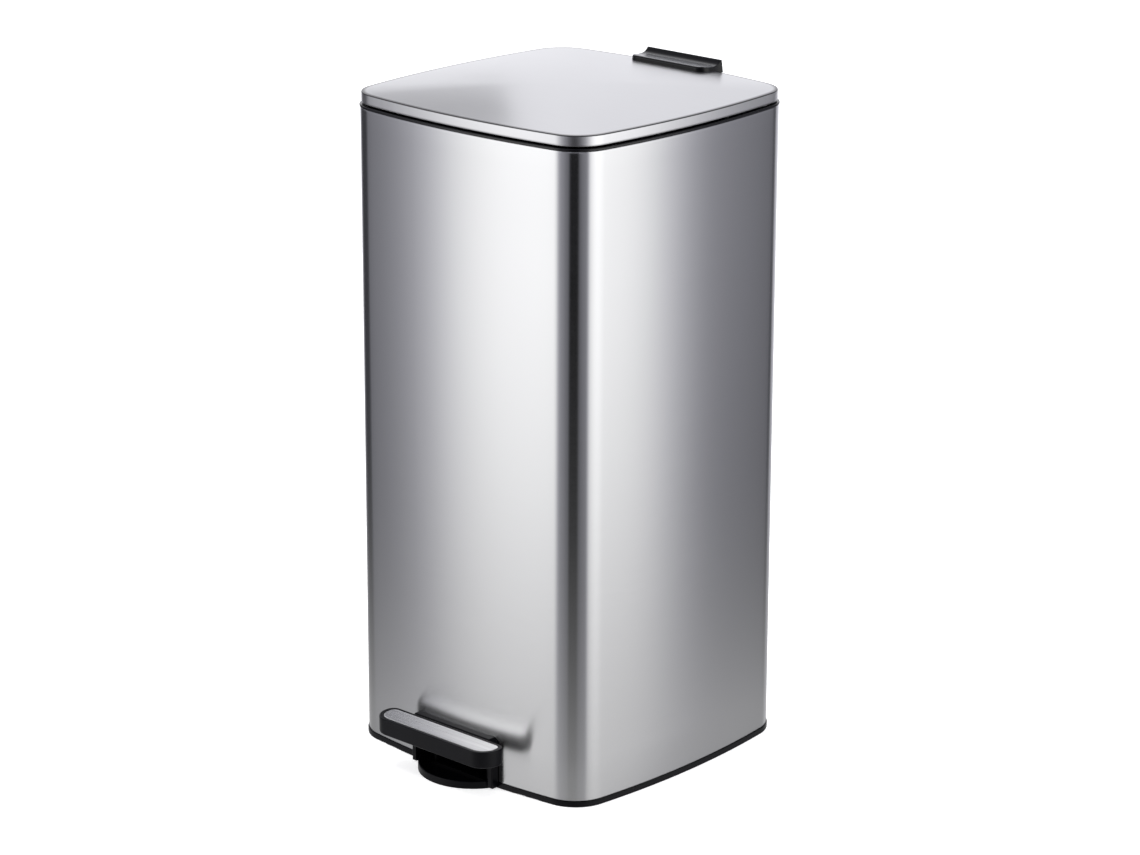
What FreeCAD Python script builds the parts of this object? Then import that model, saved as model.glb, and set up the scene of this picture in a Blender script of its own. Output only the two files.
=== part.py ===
import FreeCAD, Part
import Sketcher
import math
import os
from FreeCAD import Vector as V, Placement, Rotation

# Free-standing pedal bin: a 300 mm square steel bin with softly bulged sides,
# a foot pedal at the bottom of the front wall, a lever under the bucket, a
# push rod up the inside of the rear wall and a lid hinged behind the rear edge.
# Frame: millimetres, +Z up, the front faces -Y, the floor is z = 0 and the
# origin is the middle of the body's plan.

os.makedirs("parts", exist_ok=True)
doc = FreeCAD.newDocument("pedal_bin")
sheet = doc.addObject("Spreadsheet::Sheet", "Sheet")

SIZES = [
    # plan of the steel body: four shallow side arcs joined by corner arcs
    ("half_width", 150.0), ("side_radius", 831.0), ("corner_radius", 36.0),
    # heights of the stack
    ("base_height", 5.7), ("body_top", 600.0), ("rim_top", 602.4),
    ("lid_base", 603.9), ("lid_crease", 613.5), ("lid_crown", 619.0),
    # offsets of the stack from the body's outline (outwards positive)
    ("steel", 0.7), ("base_out", 0.9), ("rim_out", 0.7), ("lid_in", 1.2), ("lid_skin", 1.0),
    # base moulding
    ("floor_low", 1.2), ("floor_top", 3.2), ("upstand_top", 24.0), ("upstand_in", 1.0), ("upstand_wall", 2.2),
    # opening for the pedal arm in the front wall
    ("mouth_half", 45.8), ("mouth_top", 44.8), ("bezel_half", 50.6), ("bezel_top", 49.0), ("bezel_low", 1.6),
    ("bezel_front", 157.2), ("bezel_back", 149.2), ("bezel_bevel", 4.0),
    # front foot: a shallow half-round tray
    ("tray_radius", 51.2), ("tray_centre", 128.0), ("tray_rim", 7.0), ("tray_wall", 2.0), ("tray_floor", 1.6),
    # pedal
    ("pad_half", 71.7), ("pad_back", 159.8), ("pad_front", 189.0), ("pad_low", 34.2), ("pad_top", 49.7), ("pad_roof", 45.7),
    ("pad_round_front", 18.5), ("pad_round_back", 8.8),
    ("pad_wall", 3.0), ("plate_inset", 4.4), ("plate_back", 3.2), ("plate_thick", 1.0),
    ("tongue_top", 42.6), ("strap", 2.5), ("lever_half", 13.0),
    # pedal pivot
    ("pivot_y", -59.2), ("pivot_z", 24.0), ("pivot_pin", 3.0), ("pivot_bore", 3.06),
    # push rod
    ("rod_y", 139.6), ("rod_radius", 2.5), ("rod_low", 8.5), ("rod_high", 588.6), ("link_pin", 2.0), ("link_bore", 2.05),
    # lid hinge
    ("hinge_y", 158.0), ("hinge_z", 604.0), ("hinge_pin", 3.0), ("hinge_bore", 3.06), ("crank", 24.0),
    # tunnel over the lever
    ("tunnel_half", 34.0), ("tunnel_under", 47.0), ("tunnel_top", 49.0), ("tunnel_wall", 2.0),
    # bucket
    ("bucket_half", 130.0), ("bucket_front", 134.0), ("bucket_back", 120.0), ("bucket_wall", 1.8),
    ("bucket_low", 54.0), ("bucket_draft", 12.0), ("flange_low", 598.3), ("flange_top", 600.3), ("flange_out", 5.0),
    # hinge cover on the lid
    ("cover_low_half", 46.0), ("cover_high_half", 44.4), ("cover_front", 128.5), ("cover_ridge", 155.4), ("cover_ridge_z", 622.5),
    ("cover_rear", 157.2), ("cover_low", 611.2),
    # fasteners
    ("screw_shank", 1.7), ("screw_head", 3.4), ("screw_head_high", 1.8),
    ("foot_radius", 9.0), ("bumper_radius", 4.0),
]
for i, (name, value) in enumerate(SIZES, 1):
    sheet.set("A%d" % i, name)
    sheet.set("B%d" % i, repr(value))
    sheet.setAlias("B%d" % i, name)
doc.recompute()


def g(name):
    return float(sheet.get(name))


NODES = {}


def keep(obj, node):
    obj.Label = node
    NODES[node] = obj
    return obj


def plane(body, role):
    return next(o for o in body.Origin.OriginFeatures if o.Role == role)


def bind(obj, **kw):
    for prop, expr in kw.items():
        obj.setExpression(prop.replace("__", "."), expr)
    return obj


def box(name, lo, hi):
    b = doc.addObject("Part::Box", name)
    b.Length, b.Width, b.Height = hi[0] - lo[0], hi[1] - lo[1], hi[2] - lo[2]
    b.Placement = Placement(V(*lo), Rotation())
    return b


def rod(name, p, axis, radius, length, radius_expr=None):
    c = doc.addObject("Part::Cylinder", name)
    c.Radius, c.Height = radius, length
    if radius_expr:
        c.setExpression("Radius", radius_expr)
    c.Placement = Placement(V(*p), Rotation(V(0, 0, 1), V(*axis)))
    return c


def cut(name, base, tool):
    c = doc.addObject("Part::Cut", name)
    c.Base, c.Tool = base, tool
    return c


def fuse(name, items):
    f = doc.addObject("Part::MultiFuse", name)
    f.Shapes = items
    return f


def group(name, items):
    c = doc.addObject("Part::Compound", name)
    c.Links = items
    return c


def solid(name, shape):
    f = doc.addObject("Part::Feature", name)
    f.Shape = shape
    return f


# ---------------------------------------------------------------- outline
def corner_centre():
    c = g("half_width") - g("side_radius")
    d = g("side_radius") - g("corner_radius")
    return c, (c + math.sqrt(2 * d * d - c * c)) / 2


def outline_arcs(off):
    """Centre, radius, start and end angle of the eight arcs, anticlockwise."""
    c, k = corner_centre()
    t = math.atan2(k, k - c)
    big, small = g("side_radius") + off, g("corner_radius") + off
    side = [(c, 0), (0, c), (-c, 0), (0, -c)]
    corner = [(k, k), (-k, k), (-k, -k), (k, -k)]
    out = []
    for n in range(4):
        q = n * math.pi / 2
        out.append((side[n], big, q - t, q + t))
        out.append((corner[n], small, q + t, q + math.pi / 2 - t))
    return out


def outline_wire(off, z, scale=1.0):
    edges = []
    for (cx, cy), r, a0, a1 in outline_arcs(off):
        circle = Part.Circle(V(cx * scale, cy * scale, z), V(0, 0, 1), r * scale)
        edges.append(Part.ArcOfCircle(circle, a0, a1).toShape())
    return Part.Wire(edges)


def outline_prism(off, z0, z1):
    return Part.Face(outline_wire(off, z0)).extrude(V(0, 0, z1 - z0))


def outline_sketch(body, name, z_expr, offsets):
    """A sketch with one closed outline for each (value, expression) offset."""
    sk = body.newObject("Sketcher::SketchObject", name)
    sk.AttachmentSupport = [(plane(body, "XY_Plane"), "")]
    sk.MapMode = "FlatFace"
    sk.setExpression("AttachmentOffset.Base.z", z_expr)
    c, k = corner_centre()
    for off, expr in offsets:
        ids = []
        for (cx, cy), r, a0, a1 in outline_arcs(off):
            ids.append(sk.addGeometry(Part.ArcOfCircle(Part.Circle(V(cx, cy, 0), V(0, 0, 1), r), a0, a1), False))
        for n in range(8):
            sk.addConstraint(Sketcher.Constraint("Tangent", ids[n], 2, ids[(n + 1) % 8], 1))
        for n in range(8):
            r = outline_arcs(off)[n][1]
            q = sk.addConstraint(Sketcher.Constraint("Radius", ids[n], r))
            sk.setExpression("Constraints[%d]" % q,
                             ("Sheet.side_radius" if n % 2 == 0 else "Sheet.corner_radius") + expr)
        for n, (axis, kind, flip) in enumerate([(-1, "DistanceX", 0), (-2, "DistanceY", 0),
                                                (-1, "DistanceX", 1), (-2, "DistanceY", 1)]):
            i = ids[2 * n]
            sk.addConstraint(Sketcher.Constraint("PointOnObject", i, 3, axis))
            ends = (-1, 1, i, 3) if flip else (i, 3, -1, 1)
            q = sk.addConstraint(Sketcher.Constraint(kind, *ends, -c))
            sk.setExpression("Constraints[%d]" % q, "Sheet.side_radius - Sheet.half_width")
    return sk


def pad(body, name, sk, length_expr):
    p = body.newObject("PartDesign::Pad", name)
    p.Profile = sk
    p.setExpression("Length", length_expr)
    sk.Visibility = False
    return p


def outline_body(name, z_expr, length_expr, offsets):
    b = doc.addObject("PartDesign::Body", name)
    sk = outline_sketch(b, name + "_plan", z_expr, offsets)
    pad(b, name + "_pad", sk, length_expr)
    return b


def closed_path(sk, points, fixed):
    """Straight-sided closed profile, every corner pinned to its coordinates."""
    ids = []
    n = len(points)
    for i in range(n):
        a, b = points[i], points[(i + 1) % n]
        ids.append(sk.addGeometry(Part.LineSegment(V(a[0], a[1], 0), V(b[0], b[1], 0)), False))
    for i in range(n):
        sk.addConstraint(Sketcher.Constraint("Coincident", ids[i], 2, ids[(i + 1) % n], 1))
    for i, exprs in enumerate(fixed):
        for kind, value, expr in (("DistanceX", points[i][0], exprs[0]), ("DistanceY", points[i][1], exprs[1])):
            if abs(value) < 1e-9:
                sk.addConstraint(Sketcher.Constraint("PointOnObject", ids[i], 1, -2 if kind == "DistanceX" else -1))
                continue
            ends = (-1, 1, ids[i], 1) if value > 0 else (ids[i], 1, -1, 1)
            q = sk.addConstraint(Sketcher.Constraint(kind, *ends, abs(value)))
            if expr:
                sk.setExpression("Constraints[%d]" % q, expr)
    return ids


def pad_sketch(body, name, z_expr, inset, back_inset, inset_e, back_e):
    """Plan of the pedal: a bar with broad round front corners and tighter rear ones,
    drawn in by one amount at the front and ends and by another at the back."""
    sk = body.newObject("Sketcher::SketchObject", name)
    sk.AttachmentSupport = [(plane(body, "XY_Plane"), "")]
    sk.MapMode = "FlatFace"
    sk.setExpression("AttachmentOffset.Base.z", z_expr)
    H, yf, yb = g("pad_half") - inset, g("pad_front") - inset, g("pad_back") + back_inset
    rf, rb = g("pad_round_front") - inset, g("pad_round_back") - back_inset
    he, fe, be_ = "Sheet.pad_half - " + inset_e, "Sheet.pad_front - " + inset_e, "Sheet.pad_back + " + back_e
    rfe, rbe = "Sheet.pad_round_front - " + inset_e, "Sheet.pad_round_back - " + back_e
    pi = math.pi

    def line(x0, y0, x1, y1):
        return sk.addGeometry(Part.LineSegment(V(x0, y0, 0), V(x1, y1, 0)), False)

    def arc(cx, cy, r, a0, a1):
        return sk.addGeometry(Part.ArcOfCircle(Part.Circle(V(cx, cy, 0), V(0, 0, 1), r), a0, a1), False)

    ids = [line(-H + rf, -yf, H - rf, -yf), arc(H - rf, -yf + rf, rf, -pi / 2, 0), line(H, -yf + rf, H, -yb - rb),
           arc(H - rb, -yb - rb, rb, 0, pi / 2), line(H - rb, -yb, -H + rb, -yb), arc(-H + rb, -yb - rb, rb, pi / 2, pi),
           line(-H, -yb - rb, -H, -yf + rf), arc(-H + rf, -yf + rf, rf, pi, 3 * pi / 2)]
    for n in range(8):
        sk.addConstraint(Sketcher.Constraint("Tangent", ids[n], 2, ids[(n + 1) % 8], 1))
    for n, kind in ((0, "Horizontal"), (4, "Horizontal"), (2, "Vertical"), (6, "Vertical")):
        sk.addConstraint(Sketcher.Constraint(kind, ids[n]))
    for args, expr in ((("DistanceY", ids[0], 1, -1, 1, yf), fe), (("DistanceY", ids[4], 1, -1, 1, yb), be_),
                       (("DistanceX", -1, 1, ids[2], 1, H), he), (("DistanceX", ids[6], 1, -1, 1, H), he),
                       (("Radius", ids[1], rf), rfe), (("Radius", ids[7], rf), rfe),
                       (("Radius", ids[3], rb), rbe), (("Radius", ids[5], rb), rbe)):
        q = sk.addConstraint(Sketcher.Constraint(*args))
        sk.setExpression("Constraints[%d]" % q, expr)
    return sk


def yz_prism(points, x0, x1):
    face = Part.Face(Part.makePolygon([V(x0, y, z) for y, z in points] + [V(x0, points[0][0], points[0][1])]))
    return face.extrude(V(x1 - x0, 0, 0))


def hull_two(ya, za, ra, yb, zb, rb, x0, x1):
    """Link plate: two discs joined by their outer tangents, lying in a YZ plane."""
    d = math.hypot(yb - ya, zb - za)
    base = math.atan2(zb - za, yb - ya)
    k = math.acos((ra - rb) / d)
    pts = []
    for s in (1, -1):
        a = base + s * k
        pts.append(((ya + ra * math.cos(a), za + ra * math.sin(a)), (yb + rb * math.cos(a), zb + rb * math.sin(a))))
    (a1, b1), (a2, b2) = pts
    plate = yz_prism([a1, b1, b2, a2], x0, x1)
    for y, z, r in ((ya, za, ra), (yb, zb, rb)):
        plate = plate.fuse(Part.makeCylinder(r, x1 - x0, V(x0, y, z), V(1, 0, 0)))
    return plate.removeSplitter()


def x_slot(ya, za, yb, zb, r, x0, x1):
    return hull_two(ya, za, r + 1e-6, yb, zb, r, x0, x1)


def screw(name, p, axis, shank):
    """Pan-head screw: p is the underside of the head, axis points along the shank."""
    a = V(*axis)
    head = doc.addObject("Part::Cylinder", name + "_head")
    bind(head, Radius="Sheet.screw_head", Height="Sheet.screw_head_high")
    head.Placement = Placement(V(*p) - a * g("screw_head_high"), Rotation(V(0, 0, 1), a))
    body = doc.addObject("Part::Cylinder", name + "_shank")
    bind(body, Radius="Sheet.screw_shank")
    body.Height = shank
    body.Placement = Placement(V(*p), Rotation(V(0, 0, 1), a))
    return fuse(name, [head, body])


def bores(name, base, holes, extra=0.05):
    """Clearance holes for screw shanks: (start, axis, length)."""
    tools = [rod("%s_hole%d" % (name, i), p, a, g("screw_shank") + extra, length)
             for i, (p, a, length) in enumerate(holes)]
    tool = tools[0] if len(tools) == 1 else fuse(name + "_holes", tools)
    return cut(name, base, tool)


# ------------------------------------------------------------- base frame
# Outer ring that carries the steel skirt, a thin floor pan just above the
# ground and an upstand that grips the steel from inside.
ring = outline_body("ring_body", "0", "Sheet.base_height",
                    [(g("base_out"), " + Sheet.base_out"), (-g("upstand_in") - g("upstand_wall"), " - Sheet.upstand_in - Sheet.upstand_wall")])
pan = outline_body("pan_body", "Sheet.floor_low", "Sheet.floor_top - Sheet.floor_low",
                   [(-g("upstand_in") - g("upstand_wall") + 0.2, " - Sheet.upstand_in - Sheet.upstand_wall + 0.2")])
upstand = outline_body("upstand_body", "Sheet.floor_top", "Sheet.upstand_top - Sheet.floor_top",
                       [(-g("upstand_in"), " - Sheet.upstand_in"), (-g("upstand_in") - g("upstand_wall"), " - Sheet.upstand_in - Sheet.upstand_wall")])
doc.recompute()
# the ring's outer lower edges are rounded
low = [("Edge%d" % (i + 1)) for i, e in enumerate(ring.Shape.Edges)
       if abs(e.BoundBox.ZMax) < 1e-4 and e.BoundBox.ZMin > -1e-4 and max(abs(e.valueAt(e.FirstParameter).x), abs(e.valueAt(e.FirstParameter).y)) > 142.9]
ring_pad = ring.Tip
fil = ring.newObject("PartDesign::Fillet", "ring_round")
outer = [n for n in low if ring.Shape.getElement(n).CenterOfMass.Length > 0]
keep_edges = []
for n in outer:
    e = ring.Shape.getElement(n)
    p = e.valueAt((e.FirstParameter + e.LastParameter) / 2)
    best = min(abs((V(p.x - cx, p.y - cy, 0)).Length - r) for (cx, cy), r, a0, a1 in outline_arcs(g("base_out")))
    if best < 0.05:
        keep_edges.append(n)
fil.Base = (ring_pad, keep_edges)
fil.Radius = 1.6
ring.Tip = fil
doc.recompute()
base_all = fuse("base_all", [ring, pan, upstand])
# pocket for the bezel and the front foot, and the mouth for the pedal arm
mouth = fuse("base_mouth", [
    box("bezel_seat", (-g("bezel_half") - 0.2, -160, -1), (g("bezel_half") + 0.2, -148.9, 60)),
    box("arm_mouth", (-g("mouth_half") + 3.5, -160, g("floor_top")), (g("mouth_half") - 3.5, -140, 60)),
    box("bezel_ends", (-g("bezel_half") - 0.2, -160, g("base_height")), (g("bezel_half") + 0.2, -148.4, 60)),
])
keep(cut("base_cut", base_all, mouth), "base_frame")

# rubber pads under the four corners, standing on the floor
feet = []
for sx in (-1, 1):
    for sy in (-1, 1):
        f = rod("foot", (sx * 112, sy * 112, 0), (0, 0, 1), g("foot_radius"), g("floor_low"), "Sheet.foot_radius")
        f.setExpression("Height", "Sheet.floor_low")
        feet.append(f)
keep(group("feet_group", feet), "anti_slip_feet")

# ------------------------------------------------------------ outer shell
skin = outline_body("skin_body", "Sheet.base_height", "Sheet.body_top - Sheet.base_height",
                    [(0.0, ""), (-g("steel"), " - Sheet.steel")])
shell_holes = fuse("shell_openings", [
    box("pedal_mouth", (-g("mouth_half") - 3, -160, 0), (g("mouth_half") + 3, -140, g("mouth_top") + 2.0)),
    box("crank_notch", (-14, 140, 582), (14, 160, 610)),
] + [rod("housing_hole", (x, 160, z), (0, -1, 0), g("screw_shank") + 0.05, 20) for x in (-24, 24) for z in (572, 586)])
keep(cut("shell_cut", skin, shell_holes), "outer_shell")

# ---------------------------------------------------------------- top rim
bead = outline_body("bead_body", "Sheet.body_top", "Sheet.rim_top - Sheet.body_top",
                    [(g("rim_out"), " + Sheet.rim_out"), (-4.0, " - 4")])
doc.recompute()
bead_edges = []
for i, e in enumerate(bead.Shape.Edges):
    p = e.valueAt((e.FirstParameter + e.LastParameter) / 2)
    if e.BoundBox.ZLength < 1e-4 and min(abs(V(p.x - cx, p.y - cy, 0).Length - r)
                                         for (cx, cy), r, a0, a1 in outline_arcs(g("rim_out"))) < 0.02:
        bead_edges.append("Edge%d" % (i + 1))
bead_pad = bead.Tip
bf = bead.newObject("PartDesign::Fillet", "bead_round")
bf.Base = (bead_pad, bead_edges)
bf.Radius = 0.9
bead.Tip = bf
skirt = outline_body("skirt_body", "584", "Sheet.body_top - 584", [(-1.0, " - 1"), (-4.0, " - 4")])
ledge = outline_body("ledge_body", "596", "2", [(-3.9, " - 3.9")])


def bucket_plan(z, half, front, back, radius):
    """Rounded rectangle of the bucket, its rear side set forward of the push rod."""
    w = Part.makePolygon([V(-half, -front, z), V(half, -front, z), V(half, back, z), V(-half, back, z), V(-half, -front, z)])
    f = Part.Face(w)
    s = f.extrude(V(0, 0, 1))
    ups = [e for e in s.Edges if e.BoundBox.ZLength > 0.5]
    s = s.makeFillet(radius, ups)
    face = min(s.Faces, key=lambda q: q.CenterOfMass.z)
    return face.OuterWire


hole = solid("ledge_hole", Part.Face(bucket_plan(590, g("bucket_half") + 1.2, g("bucket_front") + 1.2, g("bucket_back") + 1.2, 31)).extrude(V(0, 0, 20)))
rim_all = fuse("rim_all", [bead, skirt, ledge])
rim_cut = cut("rim_cut", rim_all, fuse("rim_openings", [hole, box("rim_notch", (-13, 126.3, 580), (13, 160, 610)),
              ] + [rod("rim_hole", (x, 160, 586), (0, -1, 0), g("screw_shank") + 0.05, 20) for x in (-24, 24)]))
keep(rim_cut, "top_rim")

# ------------------------------------------------------------ pedal bezel
# A dark frame round the pedal's mouth, its legs reaching the floor.
bez = doc.addObject("PartDesign::Body", "bezel_body")
sk = bez.newObject("Sketcher::SketchObject", "bezel_profile")
sk.AttachmentSupport = [(plane(bez, "XZ_Plane"), "")]
sk.MapMode = "FlatFace"
sk.setExpression("AttachmentOffset.Base.z", "Sheet.bezel_back")
B, T, M, N, C = g("bezel_half"), g("bezel_top"), g("mouth_half"), g("mouth_top"), g("bezel_bevel")
be, te, me, ne, ce = "Sheet.bezel_half", "Sheet.bezel_top", "Sheet.mouth_half", "Sheet.mouth_top", "Sheet.bezel_bevel"
Z0, ze = g("bezel_low"), "Sheet.bezel_low"
closed_path(sk, [(-B, Z0), (-B, T - C), (-B + C, T), (B - C, T), (B, T - C), (B, Z0), (M, Z0), (M, N), (-M, N), (-M, Z0)],
            [(be, ze), (be, te + " - " + ce), (be + " - " + ce, te), (be + " - " + ce, te), (be, te + " - " + ce),
             (be, ze), (me, ze), (me, ne), (me, ne), (me, ze)])
bp = pad(bez, "bezel_pad", sk, "Sheet.bezel_front - Sheet.bezel_back")
doc.recompute()
if bez.Shape.BoundBox.YMin > -g("bezel_front") + 0.5:
    bp.Reversed = True
doc.recompute()
front = ["Edge%d" % (i + 1) for i, e in enumerate(bez.Shape.Edges)
         if abs(e.BoundBox.YMin + g("bezel_front")) < 1e-3 and abs(e.BoundBox.YMax + g("bezel_front")) < 1e-3
         and (e.BoundBox.ZMax > 1) and max(abs(e.CenterOfMass.x) - B, e.CenterOfMass.z - T) > -C - 0.01 and e.CenterOfMass.z > 1
         and not (abs(abs(e.CenterOfMass.x) - M) < 0.01)]
bc = bez.newObject("PartDesign::Fillet", "bezel_round")
bc.Base = (bp, front)
bc.Radius = 1.2
bez.Tip = bc
# it is scribed to the bulged steel, and reaches inside the mouth to its cut edge
scribe = solid("bezel_scribe", outline_prism(0.05, g("base_height") - 0.1, 80.0).cut(
    Part.makeBox(2 * g("mouth_half") + 5.6, 60, g("mouth_top") + 1.8, V(-g("mouth_half") - 2.8, -180, 0))))
keep(cut("bezel_cut", bez, scribe), "pedal_bezel")

# ------------------------------------------------------------- front foot
tr = g("tray_radius")
tray = Part.makeCylinder(tr, g("tray_rim"), V(0, -g("tray_centre"), 0))
tray = tray.makeFillet(0.9, [e for e in tray.Edges if e.Closed and e.BoundBox.ZMin > 1])
tray = tray.cut(Part.makeCylinder(tr - g("tray_wall"), 20, V(0, -g("tray_centre"), g("tray_floor"))))
tray = tray.cut(Part.makeBox(200, 200, 50, V(-100, -g("bezel_back") + 0.1, -10)))
for s in (-1, 1):
    x = g("mouth_half") - 0.15
    tray = tray.cut(Part.makeBox(30, 60, 50, V(x if s > 0 else -x - 30, -200, -10)))
foot = solid("tray_solid", tray)
keep(foot, "front_foot")

# -------------------------------------------------------- lever and pedal
L = g("lever_half")
top_line = [(-178.0, g("tongue_top")), (-128.0, g("tongue_top")), (-72.0, 33.0), (145.6, 13.6)]
low_line = [(145.6, 4.1), (-52.0, 18.4), (-66.0, 18.4), (-128.0, 33.0), (-128.0, g("tongue_top") - g("strap")), (-178.0, g("tongue_top") - g("strap"))]
lever = yz_prism(top_line + low_line, -L, L)
inner_top = [(-129.0, g("tongue_top") - g("strap")), (-127.6, g("tongue_top") - g("strap")), (-71.7, 33.0 - g("strap")), (160.0, 10.0)]
lever = lever.cut(yz_prism(inner_top + [(160.0, -10.0), (-129.0, -10.0)], -L + g("strap"), L - g("strap")))
lever = lever.cut(Part.makeBox(2 * L - 2 * g("strap"), 60, 60, V(-L + g("strap"), 129.0, -10)))
lever = lever.cut(Part.makeCylinder(g("pivot_bore"), 4 * L, V(-2 * L, g("pivot_y"), g("pivot_z")), V(1, 0, 0)))
lever = lever.cut(x_slot(g("rod_y") - 1.2, g("rod_low") - 0.06, g("rod_y") + 0.4, g("rod_low") - 0.06, g("link_pin") + 0.5, -2 * L, 2 * L))
lever = lever.cut(Part.makeBox(2, 2, 2, V(-500, 0, 0)))
lever_f = solid("lever_solid", lever)
keep(bores("lever_bored", lever_f, [((x, -170.0, 30), (0, 0, 1), 20) for x in (-7.5, 7.5)]), "pedal_lever")

pad_b = doc.addObject("PartDesign::Body", "pad_body")
s1 = pad_sketch(pad_b, "pad_plan", "Sheet.pad_low", 0.0, 0.0, "0", "0")
pad(pad_b, "pad_pad", s1, "Sheet.pad_top - Sheet.pad_low")
doc.recompute()
v0 = pad_b.Shape.Volume
s2 = pad_sketch(pad_b, "pad_recess_plan", "Sheet.pad_top", g("plate_inset"), g("plate_back"), "Sheet.plate_inset", "Sheet.plate_back")
p2 = pad_b.newObject("PartDesign::Pocket", "pad_recess")
p2.Profile = s2
p2.setExpression("Length", "Sheet.plate_thick")
s3 = pad_sketch(pad_b, "pad_hollow_plan", "Sheet.pad_low", g("pad_wall"), g("pad_wall"), "Sheet.pad_wall", "Sheet.pad_wall")
p3 = pad_b.newObject("PartDesign::Pocket", "pad_hollow")
p3.Profile = s3
p3.setExpression("Length", "Sheet.pad_roof - Sheet.pad_low")
p3.Reversed = True
doc.recompute()
assert pad_b.Shape.Volume < v0 * 0.7, pad_b.Shape.Volume / v0
top_edges = ["Edge%d" % (i + 1) for i, e in enumerate(pad_b.Shape.Edges)
             if abs(e.BoundBox.ZMin - g("pad_top")) < 1e-3 and abs(e.BoundBox.ZMax - g("pad_top")) < 1e-3
             and (e.BoundBox.YMin < -g("pad_front") + 0.3 or e.BoundBox.YMax > -g("pad_back") - 0.3)]
pc = pad_b.newObject("PartDesign::Fillet", "pad_round")
pc.Base = (p3, top_edges)
pc.Radius = 0.8
pad_b.Tip = pc
doc.recompute()
# a boss under the roof sits on the arm's tongue
boss = box("pad_boss", (-L - 1.5, -g("pad_front") + 2.0, g("tongue_top")), (L + 1.5, -g("pad_back") - 2.0, g("pad_roof") + 0.5))
pad_slot = box("pad_slot", (-L - 0.2, -g("pad_back") - 3.4, 0), (L + 0.2, -155, g("tongue_top")))
pad_all = fuse("pad_all", [pad_b, boss])
keep(bores("pad_bored", cut("pad_cut", pad_all, pad_slot), [((x, -170.0, 36), (0, 0, 1), 10.0) for x in (-7.5, 7.5)]), "pedal_pad")

plate_b = doc.addObject("PartDesign::Body", "plate_body")
s4 = pad_sketch(plate_b, "plate_plan", "Sheet.pad_top - Sheet.plate_thick", g("plate_inset") + 0.1, g("plate_back") + 0.1,
                "(Sheet.plate_inset + 0.1)", "(Sheet.plate_back + 0.1)")
pad(plate_b, "plate_pad", s4, "Sheet.plate_thick")
keep(plate_b, "pedal_plate")
keep(group("pedal_screw_group", [screw("pedal_screw%d" % i, (x, -170.0, g("tongue_top") - g("strap")), (0, 0, 1), 5.6)
                                 for i, x in enumerate((-7.5, 7.5))]), "pedal_screws")

# pivot of the lever: a pin across two upright brackets on the floor pan
pin = rod("pivot_pin_rod", (-21, g("pivot_y"), g("pivot_z")), (1, 0, 0), g("pivot_pin"), 42, "Sheet.pivot_pin")
keep(pin, "lever_pivot_pin")
brackets = []
for s in (-1, 1):
    x0, x1 = (14.2, 17.2) if s > 0 else (-17.2, -14.2)
    w = Part.Face(Part.makePolygon([V(x0, y, z) for y, z in ((-84, 3.2), (-84, 6.4), (-67, 27), (-64, 31), (-54, 31), (-51, 27), (-34, 6.4), (-34, 3.2), (-84, 3.2))]))
    b = w.extrude(V(x1 - x0, 0, 0))
    fx = x1 if s > 0 else x0 - 12
    b = b.fuse(Part.makeBox(12, 50, 2.6, V(fx, -84, 3.2))).removeSplitter()
    b = b.cut(Part.makeCylinder(g("pivot_pin") + 0.02, 60, V(-30, g("pivot_y"), g("pivot_z")), V(1, 0, 0)))
    for y in (-76, -42):
        b = b.cut(Part.makeCylinder(g("screw_shank") + 0.05, 20, V(s * 23.5, y, 0)))
    brackets.append(solid("pivot_bracket", b))
keep(group("pivot_bracket_group", brackets), "pivot_brackets")
keep(group("bracket_screw_group", [screw("bracket_screw", (s * 23.5, y, 5.8), (0, 0, -1), 4.0) for s in (-1, 1) for y in (-76, -42)]), "bracket_screws")
clips = []
for s in (-1, 1):
    c = rod("pivot_clip_disc", (s * 17.5 if s > 0 else -18.6, g("pivot_y"), g("pivot_z")), (1, 0, 0), 5.4, 1.1)
    clips.append(cut("pivot_clip", c, rod("pivot_clip_bore", (-30, g("pivot_y"), g("pivot_z")), (1, 0, 0), g("pivot_pin") + 0.02, 60)))
keep(group("pivot_clip_group", clips), "pivot_clips")

# tunnel over the lever keeps the bucket and litter off it
tw, th, tu, tt = g("tunnel_wall"), g("tunnel_half"), g("tunnel_under"), g("tunnel_top")
tunnel = fuse("tunnel_fuse", [box("tunnel_roof", (-th, -144.5, tu), (th, 128, tt)),
                              box("tunnel_left", (-th, -144.5, g("floor_top")), (-th + tw, 128, tt)),
                              box("tunnel_right", (th - tw, -144.5, g("floor_top")), (th, 128, tt)),
                              box("tunnel_foot_l", (-th - 10, -140, g("floor_top")), (-th, 126, g("floor_top") + 2)),
                              box("tunnel_foot_r", (th, -140, g("floor_top")), (th + 10, 126, g("floor_top") + 2))])
spots = [(s * (th + 5.5), y) for s in (-1, 1) for y in (-110, 100)]
keep(bores("tunnel_bored", tunnel, [((x, y, 0), (0, 0, 1), 10) for x, y in spots]), "lever_tunnel")
keep(group("tunnel_screw_group", [screw("tunnel_screw", (x, y, g("floor_top") + 2), (0, 0, -1), 3.4) for x, y in spots]), "tunnel_screws")
# the pan takes those screws
pan_holes = [((x, y, 0), (0, 0, 1), 10) for x, y in spots] + [((s * 23.5, y, 0), (0, 0, 1), 10) for s in (-1, 1) for y in (-76, -42)]
old = NODES.pop("base_frame")
old.Label = "base_unbored"
keep(bores("base_bored", old, pan_holes), "base_frame")

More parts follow.
